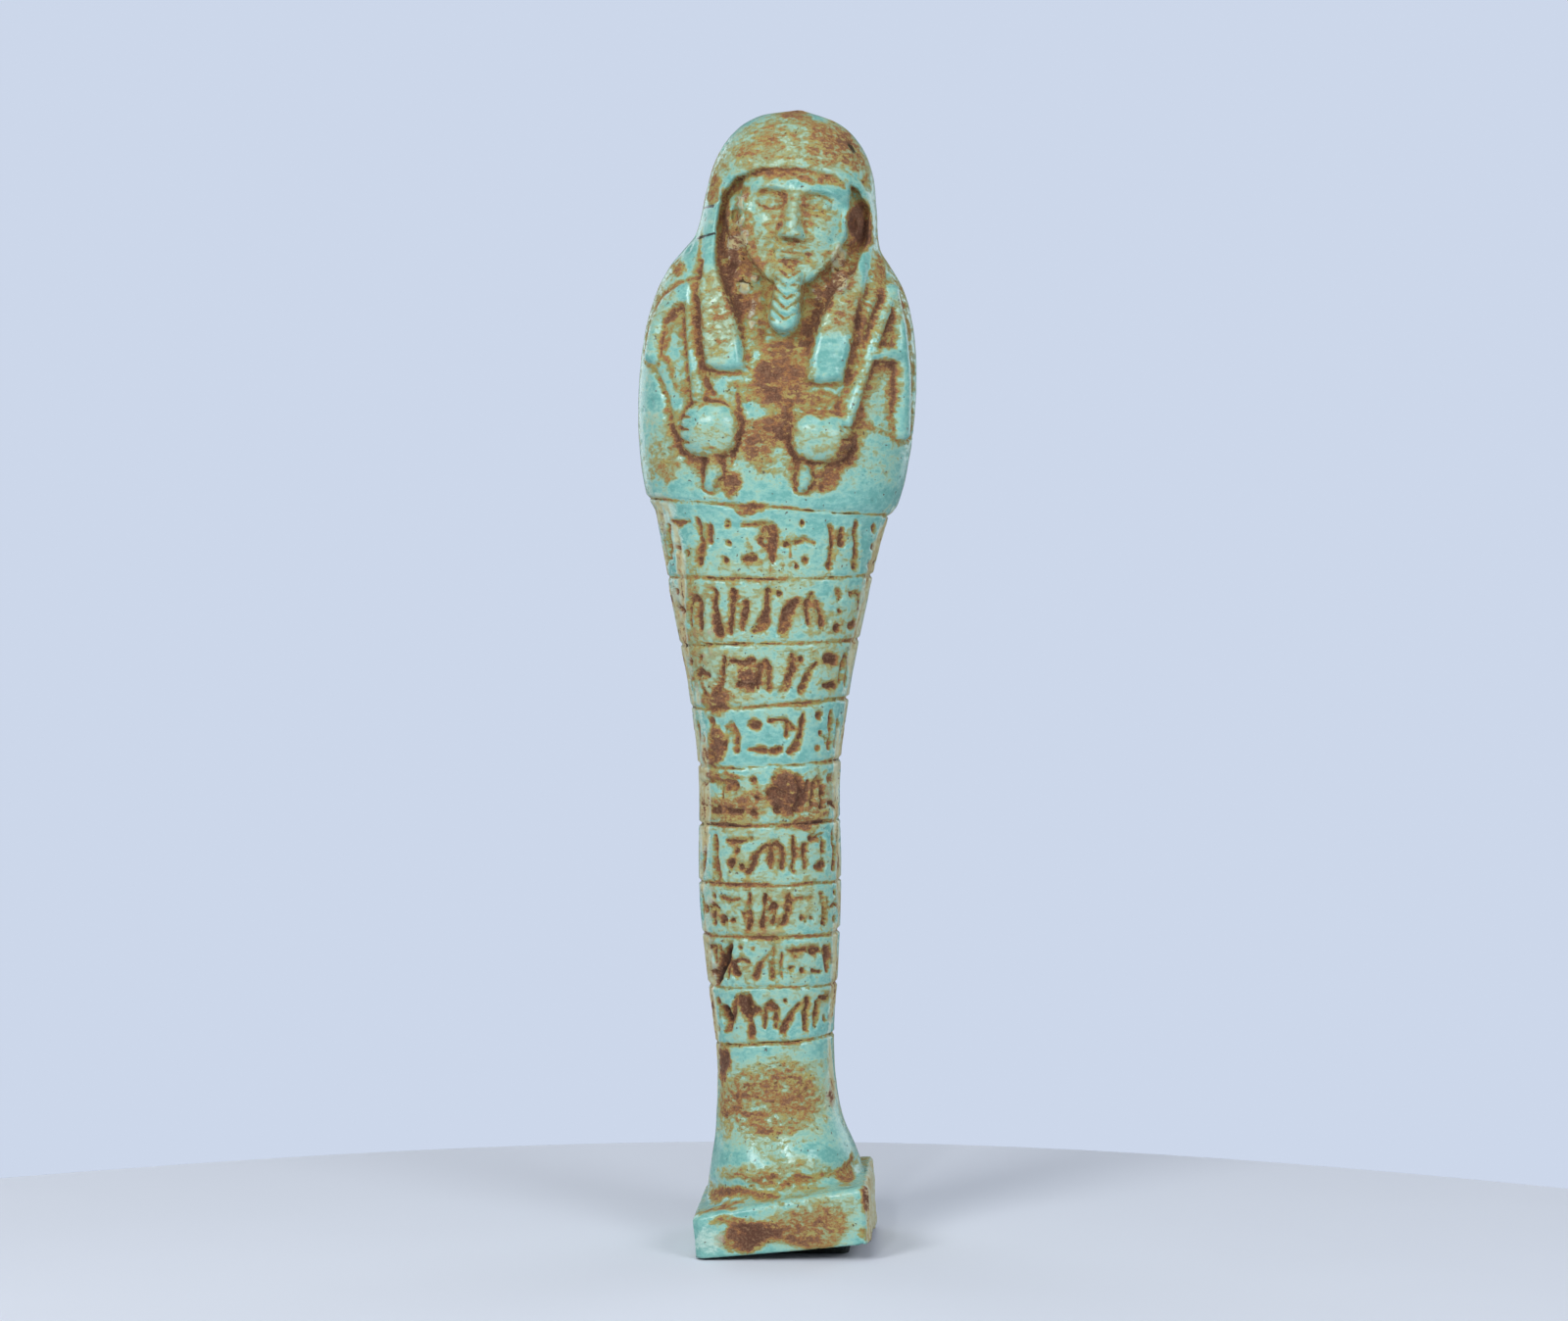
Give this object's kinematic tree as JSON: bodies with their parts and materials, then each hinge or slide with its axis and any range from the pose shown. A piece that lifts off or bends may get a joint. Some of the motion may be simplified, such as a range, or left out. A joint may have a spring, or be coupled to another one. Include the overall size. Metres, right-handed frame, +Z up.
{
  "type": "ushabti figurine",
  "caption": "Mummiform funerary figurine of glazed ware with wig, beard, fists holding hoes, banded rows of marks, low plinth and back pillar.",
  "frame": {"origin": "centre of the figure's straight axis on the underside of the plinth", "axes": "+Z up from the plinth to the crown, the face looks along -Y, the figure's left side is +X"},
  "size_m": [0.0493, 0.0335, 0.2001],
  "materials": {
    "faience_glaze": "turquoise faience glaze, worn and pitted, with brown earth in the carving"
  },
  "bodies": {
    "root": {"ushabti_figurine": "faience_glaze"}
  },
  "joints": []
}
